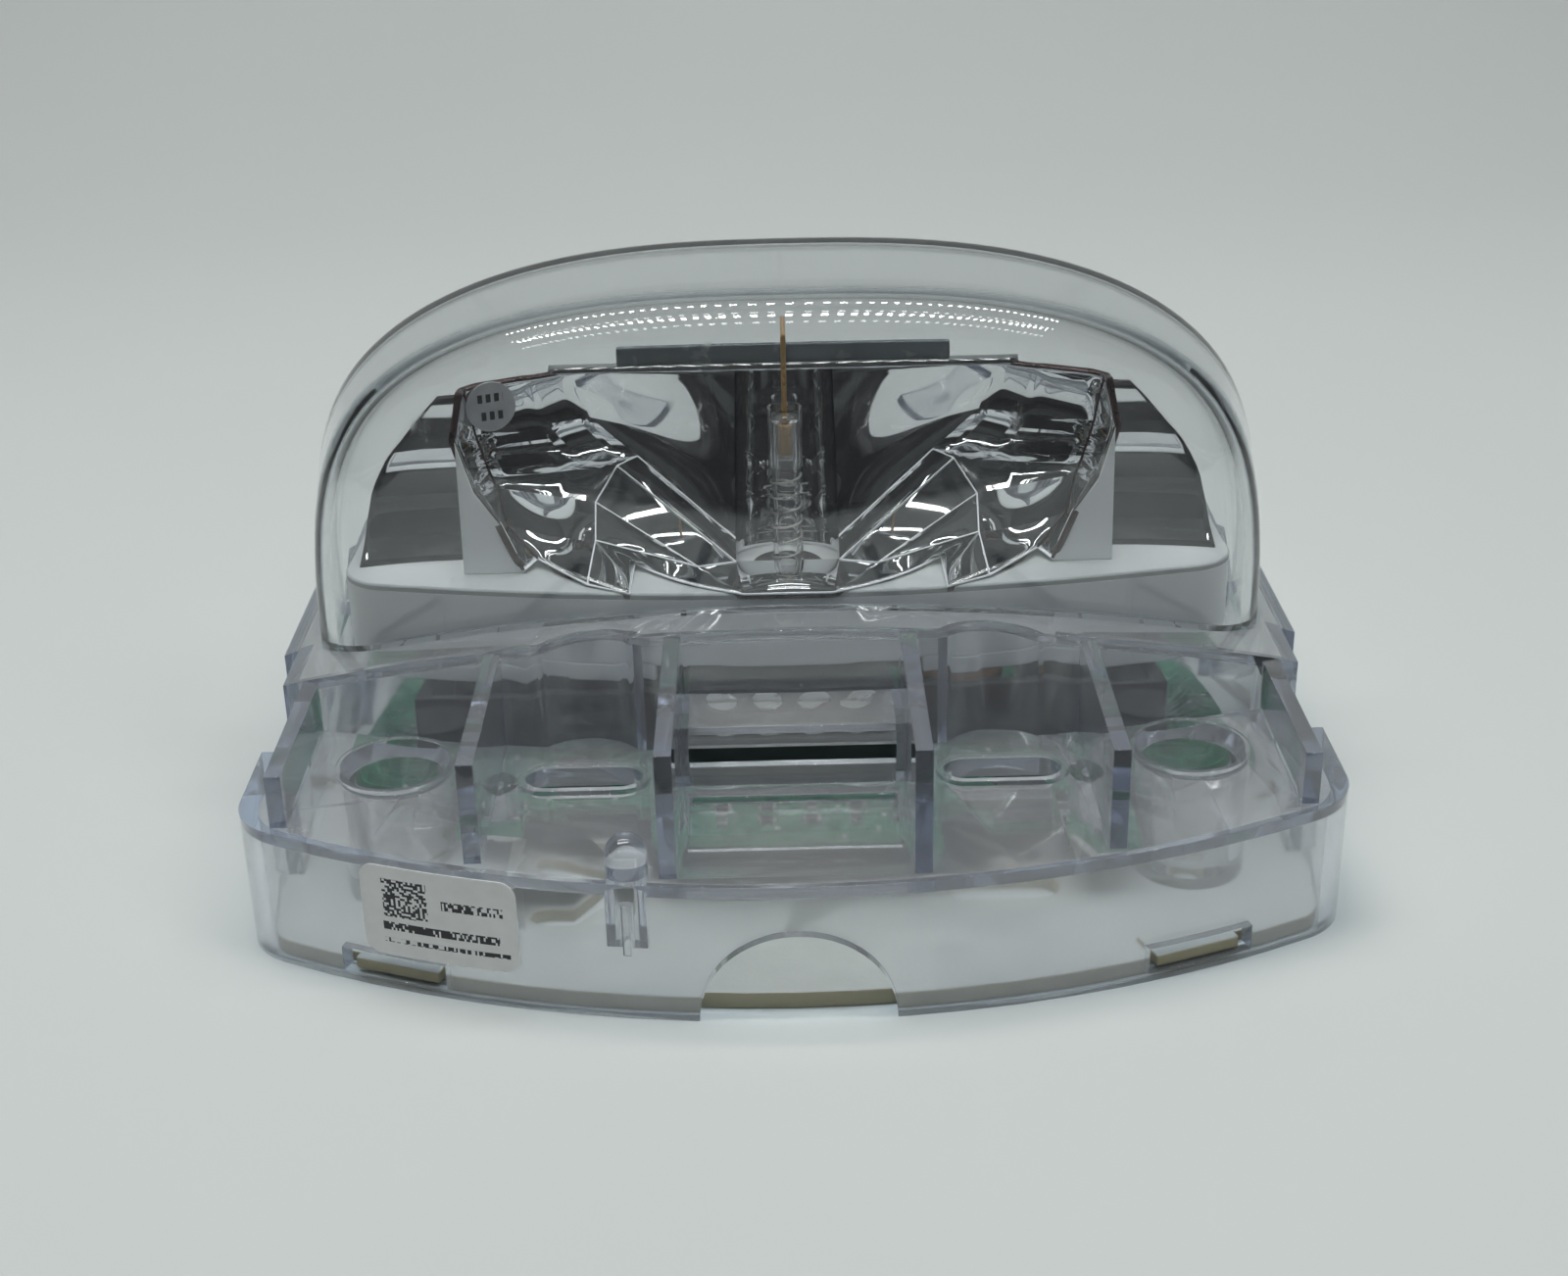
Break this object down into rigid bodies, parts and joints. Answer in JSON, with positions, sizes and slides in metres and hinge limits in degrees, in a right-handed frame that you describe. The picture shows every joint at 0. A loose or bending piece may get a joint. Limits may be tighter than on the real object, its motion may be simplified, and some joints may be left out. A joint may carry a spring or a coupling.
{
  "type": "horn strobe",
  "caption": "Wall-mount fire alarm horn strobe with a clear housing, domed lens, chrome reflector and flash tube, shown with its cover off.",
  "frame": {"origin": "middle of the wall face, at the centre of the housing's bounding box", "axes": "+Z out of the wall, +Y up the wall, +X to the viewer's right when facing the wall"},
  "size_m": [0.1208, 0.1302, 0.0671],
  "materials": {
    "chassis": "clear moulded polycarbonate",
    "lens_dome": "clear moulded polycarbonate lens",
    "back_plate": "ivory moulded plate",
    "circuit_board": "green solder mask on glass-epoxy",
    "board_screws": "zinc-plated screws",
    "inner_frame": "black moulded carrier",
    "reflector": "vacuum-metallised plastic",
    "flash_tube": "clear glass tube",
    "tube_anode": "lead wire with amber insulation",
    "tube_cathode": "metal electrode and lead",
    "tube_sleeve": "clear silicone sleeve",
    "tube_socket": "dark grommet",
    "trigger_wire": "fine bare wire",
    "candela_sticker": "grey printed sticker",
    "label": "white coated label",
    "flash_capacitor": "sleeved aluminium can",
    "trigger_transformer": "yellow-taped winding",
    "inductor": "copper winding on a ferrite drum",
    "power_transistor": "moulded package",
    "chip_set": "moulded packages",
    "pin_header": "natural nylon",
    "terminal_block": "black moulded block",
    "terminal_contacts": "plated bars",
    "terminal_screw": "plated slotted screw",
    "terminal_cage": "plated cage",
    "switch_body": "moulded body",
    "switch_knob": "white knob",
    "horn_housing": "black moulded cup",
    "horn_magnet": "magnet and pole piece",
    "horn_coil": "copper winding",
    "horn_diaphragm": "spun metal disc",
    "horn_ring": "stamped ring",
    "horn_gasket": "foam rubber",
    "horn_leads": "insulated wire"
  },
  "bodies": {
    "housing": {"chassis": "chassis", "lens_dome": "lens_dome", "back_plate": "back_plate", "circuit_board": "circuit_board", "board_screws": "board_screws", "inner_frame": "inner_frame", "reflector": "reflector", "flash_tube": "flash_tube", "tube_anode": "tube_anode", "tube_cathode": "tube_cathode", "tube_sleeve": "tube_sleeve", "tube_socket": "tube_socket", "trigger_wire": "trigger_wire", "candela_sticker": "candela_sticker", "label": "label", "flash_capacitor": "flash_capacitor", "trigger_transformer": "trigger_transformer", "inductor": "inductor", "power_transistor": "power_transistor", "chip_set": "chip_set", "pin_header": "pin_header", "terminal_block": "terminal_block", "terminal_contacts": "terminal_contacts", "volume_switch": "switch_body", "tone_switch": "switch_body", "horn_housing": "horn_housing", "horn_magnet": "horn_magnet", "horn_coil": "horn_coil", "horn_ring": "horn_ring", "horn_gasket": "horn_gasket", "horn_leads": "horn_leads"},
    "terminal_screw_1": {"terminal_screw_1": "terminal_screw"},
    "terminal_screw_2": {"terminal_screw_2": "terminal_screw"},
    "terminal_screw_3": {"terminal_screw_3": "terminal_screw"},
    "terminal_screw_4": {"terminal_screw_4": "terminal_screw"},
    "terminal_cage_1": {"terminal_cage_1": "terminal_cage"},
    "terminal_cage_2": {"terminal_cage_2": "terminal_cage"},
    "terminal_cage_3": {"terminal_cage_3": "terminal_cage"},
    "terminal_cage_4": {"terminal_cage_4": "terminal_cage"},
    "volume_knob": {"volume_knob": "switch_knob"},
    "tone_knob": {"tone_knob": "switch_knob"},
    "horn_diaphragm": {"horn_diaphragm": "horn_diaphragm"}
  },
  "joints": [
    {"name": "screw_1_turn", "type": "hinge", "parent": "housing", "child": "terminal_screw_1", "pos_m": [-0.00825, -0.0307, 0.01965], "axis": [0, -1, 0], "range_deg": [0, 1080]},
    {"name": "cage_1_slide", "type": "slide", "parent": "housing", "child": "terminal_cage_1", "axis": [0, 1, 0], "range_m": [0, 0.0015]},
    {"name": "screw_2_turn", "type": "hinge", "parent": "housing", "child": "terminal_screw_2", "pos_m": [-0.00275, -0.0307, 0.01965], "axis": [0, -1, 0], "range_deg": [0, 1080]},
    {"name": "cage_2_slide", "type": "slide", "parent": "housing", "child": "terminal_cage_2", "axis": [0, 1, 0], "range_m": [0, 0.0015]},
    {"name": "screw_3_turn", "type": "hinge", "parent": "housing", "child": "terminal_screw_3", "pos_m": [0.00275, -0.0307, 0.01965], "axis": [0, -1, 0], "range_deg": [0, 1080]},
    {"name": "cage_3_slide", "type": "slide", "parent": "housing", "child": "terminal_cage_3", "axis": [0, 1, 0], "range_m": [0, 0.0015]},
    {"name": "screw_4_turn", "type": "hinge", "parent": "housing", "child": "terminal_screw_4", "pos_m": [0.00825, -0.0307, 0.01965], "axis": [0, -1, 0], "range_deg": [0, 1080]},
    {"name": "cage_4_slide", "type": "slide", "parent": "housing", "child": "terminal_cage_4", "axis": [0, 1, 0], "range_m": [0, 0.0015]},
    {"name": "volume_slide", "type": "slide", "parent": "housing", "child": "volume_knob", "axis": [1, 0, 0], "range_m": [0, 0.002]},
    {"name": "tone_slide", "type": "slide", "parent": "housing", "child": "tone_knob", "axis": [1, 0, 0], "range_m": [0, 0.002]},
    {"name": "diaphragm_travel", "type": "slide", "parent": "housing", "child": "horn_diaphragm", "axis": [0, 0, 1], "range_m": [-0.0003, 0.0003], "stiffness_N_per_m": 2000}
  ],
  "couplings": [
    {"joint": "screw_1_turn", "follows": "cage_1_slide", "rad_per_m": 12554},
    {"joint": "screw_2_turn", "follows": "cage_2_slide", "rad_per_m": 12554},
    {"joint": "screw_3_turn", "follows": "cage_3_slide", "rad_per_m": 12554},
    {"joint": "screw_4_turn", "follows": "cage_4_slide", "rad_per_m": 12554}
  ]
}
